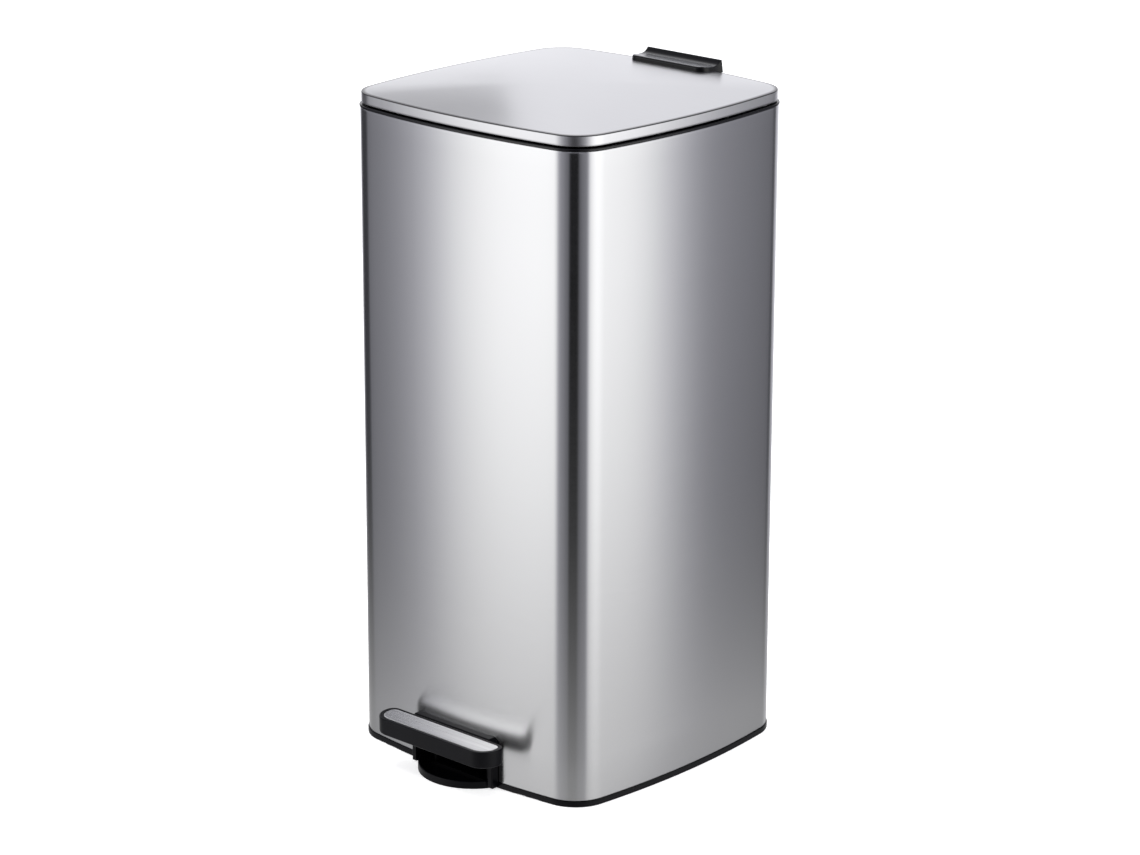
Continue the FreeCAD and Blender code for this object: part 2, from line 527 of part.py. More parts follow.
# -------------------------------------------------------------- push rod
ry, rr = g("rod_y"), g("rod_radius")
eye_low = Part.makeCylinder(4.4, 14, V(-7, ry, g("rod_low")), V(1, 0, 0))
eye_high = Part.makeCylinder(4.4, 8, V(-4, ry, g("rod_high")), V(1, 0, 0))
stem = Part.makeCylinder(rr, g("rod_high") - g("rod_low"), V(0, ry, g("rod_low")))
push = stem.fuse([eye_low, eye_high]).removeSplitter()
push = push.cut(Part.makeCylinder(g("link_bore"), 60, V(-30, ry, g("rod_low")), V(1, 0, 0)))
push = push.cut(Part.makeCylinder(g("link_bore"), 60, V(-30, ry, g("rod_high")), V(1, 0, 0)))
keep(solid("push_rod_solid", push), "push_rod")
keep(rod("low_link_pin", (-15.4, ry, g("rod_low")), (1, 0, 0), g("link_pin"), 30.8, "Sheet.link_pin"), "rod_lower_pin")
keep(rod("high_link_pin", (-9.4, ry, g("rod_high")), (1, 0, 0), g("link_pin"), 18.8, "Sheet.link_pin"), "rod_upper_pin")
clips = []
for z, half in ((g("rod_low"), 13.5), (g("rod_high"), 7.5)):
    for s in (-1, 1):
        x = half if s > 0 else -half - 1.0
        c = rod("rod_clip_disc", (x, ry, z), (1, 0, 0), 3.8, 1.0)
        clips.append(cut("rod_clip", c, rod("rod_clip_bore", (-30, ry, z), (1, 0, 0), g("link_pin") + 0.02, 60)))
keep(group("rod_clip_group", clips), "rod_clips")
# guides on the inside of the rear wall
guides = []
wall = outline_prism(-g("steel") - 0.03, 0, 600)
for z in (160, 340, 520):
    b = Part.makeBox(22, 20, 12, V(-11, 134.5, z))
    b = b.cut(Part.makeBox(5, 30, 30, V(6, 130, z - 5)).cut(Part.makeBox(5, 6, 40, V(6, 143.5, z - 6))))
    b = b.cut(Part.makeBox(5, 30, 30, V(-11, 130, z - 5)).cut(Part.makeBox(5, 6, 40, V(-11, 143.5, z - 6))))
    b = b.common(wall)
    b = b.cut(Part.makeCylinder(rr + 0.35, 60, V(0, ry, z - 20)))
    guides.append(solid("rod_guide", b))
keep(group("rod_guide_group", guides), "rod_guides")

# -------------------------------------------------------- hinge at the back
hy, hz = g("hinge_y"), g("hinge_z")
outside = outline_prism(0.03, 0, 700)
plate = Part.makeBox(84, 12, 36, V(-42, 142, 562)).cut(outside)
plate = plate.cut(Part.makeBox(100, 50, 60, V(-50, 153.4, 550)))
for s in (-1, 1):
    x0, x1 = (30.2, 38.0) if s > 0 else (-38.0, -30.2)
    ear = yz_prism([(149.0, 574.0), (153.4, 574.0), (156.5, 588.0), (158.0, 597.9), (158.0, 610.2), (152.3, 607.0), (152.3, 598.0), (149.0, 598.0)], x0, x1)
    ear = ear.cut(outside.common(Part.makeBox(200, 100, 602.9, V(-100, 100, 0))))
    ear = ear.fuse(Part.makeCylinder(6.3, x1 - x0, V(x0, hy, hz), V(1, 0, 0)))
    ear = ear.cut(Part.makeBox(200, 30, 60, V(-100, 121.7, 597.9)))
    plate = plate.fuse(ear)
plate = plate.removeSplitter()
plate = plate.cut(Part.makeBox(28, 40, 60, V(-14, 130, 582)))
plate = plate.cut(Part.makeCylinder(g("hinge_pin") + 0.02, 200, V(-100, hy, hz), V(1, 0, 0)))
for x in (-24, 24):
    for z in (572, 586):
        plate = plate.cut(Part.makeCylinder(g("screw_shank") + 0.05, 40, V(x, 140, z), V(0, 1, 0)))
keep(solid("housing_solid", plate), "hinge_housing")
keep(group("housing_screw_group", [screw("housing_screw", (x, 153.4, z), (0, -1, 0), 8.0) for x in (-24, 24) for z in (572, 586)]), "housing_screws")
keep(rod("hinge_pin_rod", (-41.5, hy, hz), (1, 0, 0), g("hinge_pin"), 83, "Sheet.hinge_pin"), "hinge_pin")
clips = []
for s in (-1, 1):
    c = rod("hinge_clip_disc", (38.3 if s > 0 else -39.5, hy, hz), (1, 0, 0), 5.2, 1.2)
    clips.append(cut("hinge_clip", c, rod("hinge_clip_bore", (-60, hy, hz), (1, 0, 0), g("hinge_pin") + 0.02, 120)))
keep(group("hinge_clip_group", clips), "hinge_clips")

# ------------------------------------------------------------------- lid
crease, crown, skn = g("lid_crease"), g("lid_crown"), g("lid_skin")
EDGE = 1.3


def lid_form(off, z0, drop):
    """Solid lid form: skirt, small rolled edge and a shallow dome."""
    rows = [(outline_wire(off, z0), 0), (outline_wire(off, crease - drop - EDGE), 0)]
    skirt_part = Part.makeLoft([r[0] for r in rows], True, True)
    roll = []
    for a in (0, 30, 60, 90):
        t = math.radians(a)
        roll.append(outline_wire(off - EDGE * (1 - math.cos(t)), crease - drop - EDGE + EDGE * math.sin(t)))
    roll_part = Part.makeLoft(roll, True, False)
    dome = []
    for sc in (1.0, 0.86, 0.7, 0.5, 0.28, 0.08):
        dome.append(outline_wire(off - EDGE, crease - drop + (crown - crease) * (1 - sc * sc), sc))
    dome_part = Part.makeLoft(dome, True, False)
    return skirt_part.fuse([roll_part, dome_part])


lid_out = lid_form(-g("lid_in"), g("lid_base"), 0.0)
lid_inner = lid_form(-g("lid_in") - skn, g("lid_base") - 1.0, skn)
lid_shape = lid_out.cut(lid_inner)
for x in (-34, 34):
    lid_shape = lid_shape.cut(Part.makeCylinder(g("screw_shank") + 0.05, 40, V(x, 137.0, 600)))
lid_f = solid("lid_solid", lid_shape)
keep(lid_f, "lid_shell")

# liner: a flat inner panel in the skirt with a lip that drops into the bucket
liner = outline_prism(-g("lid_in") - skn - 0.3, 604.4, 606.4)
lip = Part.Face(bucket_plan(598.6, 121, 125, 111, 24)).extrude(V(0, 0, 6.0))
lip = lip.cut(Part.Face(bucket_plan(590, 119, 123, 109, 22)).extrude(V(0, 0, 30)))
liner = liner.fuse(lip).removeSplitter()
ribs = []
for s in (-1, 1):
    ribs.append(Part.makeBox(2, 230, 5.2, V(s * 60 - 1, -115, 606.2)))
    ribs.append(Part.makeBox(240, 2, 5.2, V(-120, s * 60 - 1, 606.2)))
liner = liner.fuse(ribs).removeSplitter()
for x in (-34, 34):
    liner = liner.cut(Part.makeCylinder(5.0, 40, V(x, 137.0, 590)))
keep(solid("liner_solid", liner), "lid_liner")
# soft bumpers under the liner that meet the rim
bumps = [rod("lid_bumper", (sx * 143.2, y, 602.75), (0, 0, 1), g("bumper_radius") - 1.2, 1.65) for sx in (-1, 1) for y in (-45, 45)]
keep(group("lid_bumper_group", bumps), "lid_bumpers")

# hinge bracket: plate on the lid, two ears, a barrel and the two crank plates
cr = g("crank")
cy, cz = g("rod_y"), g("rod_high")
ux, uz = (cy - hy) / cr, (cz - hz) / cr
br = Part.makeBox(80, 23.3, 1.5, V(-40, 131.5, 614.9))
for s in (-1, 1):
    x0, x1 = (22.0, 29.6) if s > 0 else (-29.6, -22.0)
    br = br.fuse(yz_prism([(152.0, 604.0), (151.2, 608.0), (151.2, 614.9), (148.0, 614.9), (148.0, 616.4), (154.8, 616.4), (154.8, 610.9), (158.0, 610.0), (158.0, 604.0)], x0, x1))
    br = br.fuse(Part.makeCylinder(6.0, x1 - x0, V(x0, hy, hz), V(1, 0, 0)))
    c0, c1 = (4.5, 7.1) if s > 0 else (-7.1, -4.5)
    br = br.fuse(hull_two(hy, hz, 6.0, hy + ux * (cr + 0.4), hz + uz * (cr + 0.4), 5.6, c0, c1))
br = br.fuse(Part.makeCylinder(5.4, 59.2, V(-29.6, hy, hz), V(1, 0, 0)))
br = br.removeSplitter()
br = br.cut(Part.makeCylinder(g("hinge_bore"), 200, V(-100, hy, hz), V(1, 0, 0)))
for s in (-1, 1):
    c0, c1 = (4.0, 8.0) if s > 0 else (-8.0, -4.0)
    br = br.cut(x_slot(hy + ux * 18.1, hz + uz * 18.1, hy + ux * 24.3, hz + uz * 24.3, 3.2, c0, c1))
for x in (-34, 34):
    br = br.cut(Part.makeCylinder(g("screw_shank") + 0.05, 40, V(x, 137.0, 600)))
br = br.cut(lid_out)
keep(solid("bracket_solid", br), "lid_bracket")

# hinge cover: a scooped block over the bracket; its top dips behind the rounded
# front lip and then sweeps up to a sharp ridge above the hinge
cf, crd, crz, cb, clow = g("cover_front"), g("cover_ridge"), g("cover_ridge_z"), g("cover_rear"), g("cover_low")
hl, hh = g("cover_low_half"), g("cover_high_half")
scoop = Part.BSplineCurve()
scoop.interpolate([V(-60, y, z) for y, z in ((cf + 1.6, 618.95), (132.2, 619.2), (137.5, 618.55), (143.0, 618.1), (147.5, 618.15),
                                              (150.8, 618.9), (153.4, 620.5), (crd, crz))])
pts = [V(-60, crd, crz), V(-60, crd + 0.9, crz - 0.1), V(-60, cb, crz - 1.3), V(-60, cb, clow), V(-60, 149.2, clow), V(-60, 149.2, 606.0),
       V(-60, cf, 606.0), V(-60, cf, 617.4), V(-60, cf + 0.5, 618.4), V(-60, cf + 1.6, 618.95)]
edges = [scoop.toShape()] + [Part.LineSegment(pts[i], pts[i + 1]).toShape() for i in range(len(pts) - 1)]
cover = Part.Face(Part.Wire(edges)).extrude(V(120, 0, 0))
slope = (hl - hh) / (crz - clow)


def end_frame(z, y0, y1):
    half = hl - slope * (z - clow)
    return Part.makePolygon([V(-half, y0, z), V(half, y0, z), V(half, y1, z), V(-half, y1, z), V(-half, y0, z)])


env = Part.makeLoft([end_frame(600.0, cf - 0.01, 170.0), end_frame(630.0, cf - 0.01, 170.0)], True, True)
ups = [e for e in env.Edges if abs(e.CenterOfMass.y - cf) < 0.6 and e.BoundBox.ZLength > 3]
env = env.makeFillet(9.5, ups)
cover = cover.common(env)
cover = cover.cut(Part.makeBox(82.0, 24.2, 20.0, V(-41, 131.0, 596.5)))
cover = cover.cut(lid_out)
for x in (-34, 34):
    cover = cover.cut(Part.makeCylinder(g("screw_shank") + 0.05, 17.3, V(x, 137.0, 600.0)))
cover = cover.removeSplitter()
if len(cover.Solids) > 1:
    cover = max(cover.Solids, key=lambda q: q.Volume)
keep(solid("cover_solid", cover), "hinge_cover")
keep(group("lid_screw_group", [screw("lid_screw", (x, 137.0, 612.6), (0, 0, 1), 4.6) for x in (-34, 34)]), "lid_screws")

# ---------------------------------------------------------------- bucket
bh, bfr, bb, bw, bl, bd = (g(n) for n in ("bucket_half", "bucket_front", "bucket_back", "bucket_wall", "bucket_low", "bucket_draft"))
fl, ft, fo = g("flange_low"), g("flange_top"), g("flange_out")


def bucket_form(inset, z0, z1):
    a = bucket_plan(z0, bh - bd - inset, bfr - bd - inset, bb - bd - inset, 28 - inset)
    b = bucket_plan(z1, bh - inset, bfr - inset, bb - inset, 30 - inset)
    return Part.makeLoft([a, b], True, True)


outer_b = bucket_form(0.0, bl, ft)
low_edges = [e for e in outer_b.Edges if e.BoundBox.ZMax < bl + 1e-3]
outer_b = outer_b.makeFillet(6.0, low_edges)
flange = Part.Face(bucket_plan(fl, bh + 4.5, bfr + 3.5, bb + fo, 33)).extrude(V(0, 0, ft - fl))
bucket = outer_b.fuse(flange)
inner_b = bucket_form(bw, bl + bw, ft + 0.0)
top_plug = Part.Face(bucket_plan(ft - 0.001, bh - bw, bfr - bw, bb - bw, 28)).extrude(V(0, 0, 5))
bucket = bucket.cut(inner_b)
bucket = bucket.removeSplitter()
keep(solid("bucket_solid", bucket), "inner_bucket")

# ----------------------------------------------------------------- export
doc.recompute()
bad = [o.Name for o in doc.Objects if any(s in ("Invalid", "Error") for s in o.State)]
if bad:
    raise RuntimeError("failed objects: %s" % bad)
for node, obj in NODES.items():
    s = obj.Shape
    if s.isNull() or not s.isValid() or not s.Solids:
        raise RuntimeError("bad shape: %s" % node)
total = 0.0
for node, obj in sorted(NODES.items()):
    s = obj.Shape
    s.exportStep("parts/%s.step" % node)
    bbx = s.BoundBox
    print("%-18s solids %2d vol %9.1f cm3  x %7.1f %7.1f  y %7.1f %7.1f  z %6.1f %6.1f" % (
        node, len(s.Solids), s.Volume / 1000, bbx.XMin, bbx.XMax, bbx.YMin, bbx.YMax, bbx.ZMin, bbx.ZMax))
print(len(NODES), "nodes")
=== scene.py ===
import bpy, bmesh, math
from mathutils import Vector, Matrix


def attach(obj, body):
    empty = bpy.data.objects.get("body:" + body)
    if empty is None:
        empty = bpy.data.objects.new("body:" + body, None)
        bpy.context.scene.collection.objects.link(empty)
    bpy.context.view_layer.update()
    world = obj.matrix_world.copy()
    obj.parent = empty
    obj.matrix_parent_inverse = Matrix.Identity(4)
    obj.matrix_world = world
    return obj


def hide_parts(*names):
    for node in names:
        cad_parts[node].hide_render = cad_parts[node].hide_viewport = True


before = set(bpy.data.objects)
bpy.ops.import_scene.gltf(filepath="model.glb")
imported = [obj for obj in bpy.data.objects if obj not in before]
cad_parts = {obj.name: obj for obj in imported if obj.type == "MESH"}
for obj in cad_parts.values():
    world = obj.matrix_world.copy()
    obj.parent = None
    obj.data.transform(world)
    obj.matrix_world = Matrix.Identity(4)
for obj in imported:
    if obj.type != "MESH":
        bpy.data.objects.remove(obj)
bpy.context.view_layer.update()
MM = 0.001

# ------------------------------------------------------------------ camera
AZ, PITCH, ROLL = math.radians(42.402), math.radians(17.625), math.radians(0.184)
back = Vector((math.sin(AZ) * math.cos(PITCH), -math.cos(AZ) * math.cos(PITCH), math.sin(PITCH)))
right = Vector((math.cos(AZ), math.sin(AZ), 0.0))
up = back.cross(right)
r2 = math.cos(ROLL) * right + math.sin(ROLL) * up
u2 = -math.sin(ROLL) * right + math.cos(ROLL) * up
cam_data = bpy.data.cameras.new("camera")
cam = bpy.data.objects.new("camera", cam_data)
bpy.context.scene.collection.objects.link(cam)
cam_data.sensor_width = 36.0
cam_data.lens = 113.58
cam_data.clip_start, cam_data.clip_end = 0.05, 60.0
m = Matrix((r2, u2, back)).transposed().to_4x4()
m.translation = Vector((2.1224, -2.3227, 1.2966))
cam.matrix_world = m
bpy.context.scene.camera = cam


# --------------------------------------------------------------- materials
class Net:
    """Small helper for building node trees."""

    def __init__(self, tree):
        self.t = tree
        self.t.nodes.clear()

    def n(self, kind, **props):
        node = self.t.nodes.new(kind)
        for k, v in props.items():
            setattr(node, k, v)
        return node

    def link(self, a, b):
        self.t.links.new(a, b)

    def math(self, op, a, b=None, clamp=False):
        node = self.n("ShaderNodeMath", operation=op, use_clamp=clamp)
        for i, v in enumerate((a, b)):
            if v is None:
                continue
            if isinstance(v, (int, float)):
                node.inputs[i].default_value = v
            else:
                self.link(v, node.inputs[i])
        return node.outputs[0]

    def ramp(self, fac, stops, mode="LINEAR"):
        node = self.n("ShaderNodeValToRGB")
        cr = node.color_ramp
        cr.interpolation = mode
        while len(cr.elements) < len(stops):
            cr.elements.new(0.5)
        for e, (p, c) in zip(cr.elements, stops):
            e.position = p
            e.color = (c, c, c, 1) if isinstance(c, (int, float)) else (*c, 1)
        self.link(fac, node.inputs[0])
        return node.outputs[0]

    def noise(self, vec, scale, detail=3.0, rough=0.5):
        node = self.n("ShaderNodeTexNoise")
        node.inputs["Scale"].default_value = scale
        node.inputs["Detail"].default_value = detail
        node.inputs["Roughness"].default_value = rough
        if vec is not None:
            self.link(vec, node.inputs["Vector"])
        return node.outputs["Fac"]

    def scaled(self, vec, xyz):
        node = self.n("ShaderNodeVectorMath", operation="MULTIPLY")
        self.link(vec, node.inputs[0])
        node.inputs[1].default_value = xyz
        return node.outputs[0]

    def range(self, v, a, b, c, d):
        node = self.n("ShaderNodeMapRange")
        self.link(v, node.inputs["Value"])
        for k, x in (("From Min", a), ("From Max", b), ("To Min", c), ("To Max", d)):
            node.inputs[k].default_value = x
        return node.outputs["Result"]

    def mix(self, fac, a, b):
        node = self.n("ShaderNodeMix", data_type="RGBA")
        self.link(fac, node.inputs["Factor"])
        node.inputs[6].default_value = (*a, 1)
        node.inputs[7].default_value = (*b, 1)
        return node.outputs[2]


def material(name):
    mt = bpy.data.materials.new(name)
    mt.use_nodes = True
    net = Net(mt.node_tree)
    bsdf = net.n("ShaderNodeBsdfPrincipled")
    out = net.n("ShaderNodeOutputMaterial")
    net.link(bsdf.outputs[0], out.inputs[0])
    coord = net.n("ShaderNodeTexCoord").outputs["Object"]
    return mt, net, bsdf, coord


def bump(net, bsdf, height, strength, distance):
    b = net.n("ShaderNodeBump")
    b.inputs["Strength"].default_value = strength
    b.inputs["Distance"].default_value = distance
    net.link(height, b.inputs["Height"])
    net.link(b.outputs[0], bsdf.inputs["Normal"])


def brushed(name, color, rough, aniso, grain, tangent="Z", rot=0.25, bump_mm=0.004, streak=0.012, long_scale=22.0, fine=2000.0, relief=0.018,
            crease_shade=None, flat_top=None):
    """Brushed stainless steel. grain is the axis across the brushing lines."""
    mt, net, bsdf, co = material(name)
    f = [long_scale] * 3
    f["XYZ".index(grain)] = fine
    lines = net.noise(net.scaled(co, tuple(f)), 1.0, 2.0, 0.6)
    f2 = [long_scale * 2.2] * 3
    f2["XYZ".index(grain)] = fine * 0.28
    wide = net.noise(net.scaled(co, tuple(f2)), 1.0, 2.0, 0.5)
    cloud = net.noise(net.scaled(co, (6.0, 6.0, 6.0)), 1.0, 3.0, 0.55)
    tone = net.math("ADD", net.math("MULTIPLY", lines, 0.65), net.math("MULTIPLY", wide, 0.35))
    lo = tuple(c * (1 - streak) for c in color)
    hi = tuple(min(1.0, c * (1 + streak)) for c in color)
    shade = net.mix(net.range(tone, 0.3, 0.7, 0.0, 1.0), lo, hi)
    if crease_shade:
        # painted shade: the colour is darkened in a hairline band at this height, standing in for the shade along the
        # lid's crease
        zz = net.n("ShaderNodeSeparateXYZ")
        net.link(co, zz.inputs[0])
        line = net.n("ShaderNodeMapRange", interpolation_type="SMOOTHSTEP")
        net.link(net.math("ABSOLUTE", net.math("SUBTRACT", zz.outputs[2], crease_shade[0] * MM)), line.inputs["Value"])
        for k, x in (("From Min", crease_shade[1] * MM * 0.55), ("From Max", crease_shade[1] * MM), ("To Min", 1.0), ("To Max", 0.0)):
            line.inputs[k].default_value = x
        crease_shade_mix = net.n("ShaderNodeMix", data_type="RGBA")
        net.link(line.outputs["Result"], crease_shade_mix.inputs["Factor"])
        net.link(shade, crease_shade_mix.inputs[6])
        crease_shade_mix.inputs[7].default_value = (*(c * crease_shade[2] for c in color), 1)
        shade = crease_shade_mix.outputs[2]
    net.link(shade, bsdf.inputs["Base Color"])
    r = net.math("ADD", net.range(cloud, 0.3, 0.7, rough - 0.01, rough + 0.01), net.range(tone, 0.3, 0.7, -0.012, 0.012))
    net.link(r, bsdf.inputs["Roughness"])
    bsdf.inputs["Metallic"].default_value = 1.0
    bsdf.inputs["Anisotropic"].default_value = aniso
    bsdf.inputs["Anisotropic Rotation"].default_value = rot
    if tangent:
        tn = net.n("ShaderNodeTangent", direction_type="RADIAL", axis=tangent)
        net.link(tn.outputs[0], bsdf.inputs["Tangent"])
    if flat_top:
        # the brushing only stretches reflections on upright faces
        nz = net.n("ShaderNodeSeparateXYZ")
        net.link(net.n("ShaderNodeTexCoord").outputs["Normal"], nz.inputs[0])
        net.link(net.range(nz.outputs[2], 0.5, 0.95, aniso, flat_top), bsdf.inputs["Anisotropic"])
    bump(net, bsdf, tone, relief, bump_mm * MM * 4)
    return mt


def plastic(name, color, rough, grain=900.0, depth=0.02, spec=0.2, coat=0.0, vary=0.25):
    """Moulded plastic with a fine spark-eroded texture, faint scuffs and a soft change of gloss."""
    mt, net, bsdf, co = material(name)
    fine = net.noise(net.scaled(co, (grain,) * 3), 1.0, 2.0, 0.6)
    blot = net.noise(net.scaled(co, (22.0,) * 3), 1.0, 4.0, 0.6)
    scuff = net.noise(net.scaled(co, (160.0, 35.0, 60.0)), 1.0, 3.0, 0.7)
    lo = tuple(c * (1 - vary) for c in color)
    hi = tuple(c * (1 + vary) for c in color)
    net.link(net.mix(net.range(blot, 0.3, 0.7, 0.0, 1.0), lo, hi), bsdf.inputs["Base Color"])
    r = net.math("ADD", net.range(blot, 0.3, 0.7, rough - 0.03, rough + 0.03), net.range(scuff, 0.62, 0.8, 0.0, 0.1))
    net.link(r, bsdf.inputs["Roughness"])
    bsdf.inputs["Specular IOR Level"].default_value = spec
    bsdf.inputs["Coat Weight"].default_value = coat
    bump(net, bsdf, fine, 0.35, depth * MM)
    return mt


def rubber(name, color):
    mt, net, bsdf, co = material(name)
    fine = net.noise(net.scaled(co, (1400.0,) * 3), 1.0, 3.0, 0.6)
    dust = net.noise(net.scaled(co, (60.0,) * 3), 1.0, 4.0, 0.6)
    net.link(net.mix(net.range(dust, 0.45, 0.75, 0.0, 1.0), color, tuple(c * 1.8 + 0.01 for c in color)), bsdf.inputs["Base Color"])
    net.link(net.range(dust, 0.3, 0.7, 0.78, 0.9), bsdf.inputs["Roughness"])
    bsdf.inputs["Specular IOR Level"].default_value = 0.35
    bump(net, bsdf, fine, 0.4, 0.03 * MM)
    return mt


def zinc(name, color, rough=0.36, bright=0.12):
    """Zinc plated pressed steel: pale spangle, a few darker rub marks."""
    mt, net, bsdf, co = material(name)
    vor = net.n("ShaderNodeTexVoronoi")
    vor.inputs["Scale"].default_value = 260.0
    net.link(co, vor.inputs["Vector"])
    rub = net.noise(net.scaled(co, (40.0, 220.0, 220.0)), 1.0, 4.0, 0.65)
    fac = net.math("ADD", net.math("MULTIPLY", vor.outputs["Distance"], 0.6), net.math("MULTIPLY", rub, 0.5))
    net.link(net.mix(net.range(fac, 0.2, 0.8, 0.0, 1.0), tuple(c * (1 - bright) for c in color), tuple(min(1, c * (1 + bright)) for c in color)), bsdf.inputs["Base Color"])
    net.link(net.range(rub, 0.3, 0.7, rough - 0.06, rough + 0.08), bsdf.inputs["Roughness"])
    bsdf.inputs["Metallic"].default_value = 1.0
    bump(net, bsdf, rub, 0.2, 0.02 * MM)
    return mt


STEEL = (0.605, 0.606, 0.615)
BLACK = (0.0020, 0.0020, 0.0030)
M = {
    "body": brushed("steel_body_brushed", STEEL, 0.215, 0.93, "Z"),
    # the lid's colour carries a painted dark hairline at the crease height, 613.15 mm, standing in for shade
    "lid": brushed("steel_lid_brushed", (0.66, 0.661, 0.672), 0.30, 0.45, "Y", tangent="Z", rot=0.0, fine=1800.0, streak=0.02, relief=0.03, crease_shade=(613.15, 0.62, 0.16), flat_top=0.0001),
    # painted light: the inlay's steel is coloured near white, far paler than the body's steel, standing in for light it
    # doesn't get
    "plate": brushed("steel_plate_brushed", (0.96, 0.96, 0.965), 0.28, 0.4, "Y", tangent="Y", rot=0.0, fine=1100.0, streak=0.22, long_scale=7.0, bump_mm=0.01, relief=0.05),
    "base": plastic("black_base_moulded", BLACK, 0.24, depth=0.008, spec=0.16),
    "rim": plastic("black_rim_gloss", BLACK, 0.12, depth=0.002, spec=0.4),
    "bezel": plastic("black_bezel_moulded", BLACK, 0.30, depth=0.008, spec=0.14),
    "foot": plastic("black_foot_moulded", BLACK, 0.32, depth=0.008, spec=0.13),
    "pad": plastic("black_pedal_moulded", (0.0024, 0.0024, 0.0036), 0.34, spec=0.16),
    "cover": plastic("black_cover_moulded", (0.0014, 0.0014, 0.0020), 0.20, depth=0.001, spec=0.26),
    "housing": plastic("black_housing_moulded", (0.006, 0.006, 0.007), 0.42),
    "tunnel": plastic("black_tunnel_moulded", (0.006, 0.006, 0.007), 0.5, spec=0.2),
    "liner": plastic("black_liner_moulded", (0.018, 0.018, 0.020), 0.48, spec=0.4),
    "bucket": plastic("grey_bucket_moulded", (0.040, 0.040, 0.043), 0.46, grain=600.0, depth=0.04, spec=0.4),
    "guides": plastic("black_guides_moulded", (0.012, 0.012, 0.013), 0.45, spec=0.4),
    "feet": rubber("rubber_feet_matt", (0.02, 0.02, 0.02)),
    "bumpers": rubber("rubber_bumpers_matt", (0.025, 0.025, 0.025)),
    "zinc": zinc("zinc_plated", (0.60, 0.61, 0.62)),
    # the lever's colour is set near black, so it shows dark inside the pedal mouth
    "lever": zinc("zinc_dark_lever", (0.018, 0.018, 0.020), 0.5, bright=0.3),
    "pins": brushed("steel_pins_ground", (0.62, 0.62, 0.63), 0.25, 0.3, "X", tangent="X", rot=0.0),
    "clips": zinc("steel_clips_plain", (0.42, 0.42, 0.43), 0.4),
    "screws": zinc("steel_screws_plain", (0.50, 0.50, 0.51), 0.33),
}
# painted light: the inlay keeps some white diffuse so it shows brighter than steel would
M["plate"].node_tree.nodes["Principled BSDF"].inputs["Metallic"].default_value = 0.93
cover_bsdf = M["cover"].node_tree.nodes["Principled BSDF"]
cover_bsdf.inputs["Sheen Weight"].default_value = 0.42
cover_bsdf.inputs["Sheen Roughness"].default_value = 0.28
cover_bsdf.inputs["Sheen Tint"].default_value = (0.93, 0.94, 1.0, 1)
LOOK = {
    "outer_shell": "body", "lid_shell": "lid", "pedal_plate": "plate", "base_frame": "base", "top_rim": "rim",
    "pedal_bezel": "bezel", "front_foot": "foot", "pedal_pad": "pad", "hinge_cover": "cover", "hinge_housing": "housing",
    "lever_tunnel": "tunnel", "lid_liner": "liner", "inner_bucket": "bucket", "rod_guides": "guides",
    "anti_slip_feet": "feet", "lid_bumpers": "bumpers", "pedal_lever": "lever", "push_rod": "zinc",
    "pivot_brackets": "zinc", "lid_bracket": "zinc", "hinge_pin": "pins", "lever_pivot_pin": "pins",
    "rod_lower_pin": "pins", "rod_upper_pin": "pins", "hinge_clips": "clips", "pivot_clips": "clips", "rod_clips": "clips",
    "housing_screws": "screws", "bracket_screws": "screws", "tunnel_screws": "screws", "lid_screws": "screws", "pedal_screws": "screws",
}
for node, key in LOOK.items():
    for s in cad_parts[node].material_slots:
        s.material = M[key]


# ------------------------------------------------------------ outline maths
HALF, SIDE_R, CORNER_R = 150.0, 831.0, 36.0
CC = HALF - SIDE_R
DD = SIDE_R - CORNER_R
KK = (CC + math.sqrt(2 * DD * DD - CC * CC)) / 2
TT = math.atan2(KK, KK - CC)


def outline(off, side_n=40, corner_n=28, extra=()):
    """Points (mm) of the plan outline, anticlockwise, as (x, y). extra: angles (radians) on the side arcs to include."""
    pts = []
    side = [(CC, 0), (0, CC), (-CC, 0), (0, -CC)]
    corner = [(KK, KK), (-KK, KK), (-KK, -KK), (KK, -KK)]
    for q in range(4):
        a = q * math.pi / 2
        angs = [a - TT + 2 * TT * i / side_n for i in range(side_n)]
        for e_q, e in extra:
            if e_q == q:
                angs.append(a + e)
        angs.sort()
        for t in angs:
            pts.append((side[q][0] + (SIDE_R + off) * math.cos(t), side[q][1] + (SIDE_R + off) * math.sin(t)))
        for i in range(corner_n):
            t = a + TT + (math.pi / 2 - 2 * TT) * i / corner_n
            pts.append((corner[q][0] + (CORNER_R + off) * math.cos(t), corner[q][1] + (CORNER_R + off) * math.sin(t)))
    return pts


def new_mesh(name, verts, faces, smooth=True, mat=None):
    me = bpy.data.meshes.new(name)
    me.from_pydata([tuple(c * MM for c in v) for v in verts], [], faces)
    me.validate()
    me.update()
    ob = bpy.data.objects.new(name, me)
    bpy.context.scene.collection.objects.link(ob)
    if smooth:
        for p in me.polygons:
            p.use_smooth = True
    if mat:
        me.materials.append(mat)
    return ob


def apply_mods(ob):
    dg = bpy.context.evaluated_depsgraph_get()
    me = bpy.data.meshes.new_from_object(ob.evaluated_get(dg))
    ob.modifiers.clear()
    old = ob.data
    ob.data = me
    bpy.data.meshes.remove(old)


# -------------------------------------------------------------- steel body
MOUTH_X, MOUTH_Z, NOTCH_X, NOTCH_Z = 48.8, 46.8, 14.0, 582.0
e_mouth = math.asin(MOUTH_X / SIDE_R)
e_notch = math.asin(NOTCH_X / SIDE_R)
extra = [(3, e_mouth), (3, -e_mouth), (1, e_notch), (1, -e_notch)]
rows = [(5.75, -0.5), (6.1, -0.12), (6.7, 0.0), (46.8, 0.0)] + [(60.0 + 30.0 * i, 0.0) for i in range(18)]
rows += [(582.0, 0.0), (597.6, 0.0), (598.6, -0.05), (599.3, -0.22), (599.8, -0.5), (599.98, -0.68)]
verts, faces = [], []
rings = []
for z, off in rows:
    ring = []
    for x, y in outline(off, extra=extra):
        ring.append(len(verts))
        verts.append((x, y, z))
    rings.append(ring)
n = len(rings[0])
plan0 = outline(0.0, extra=extra)
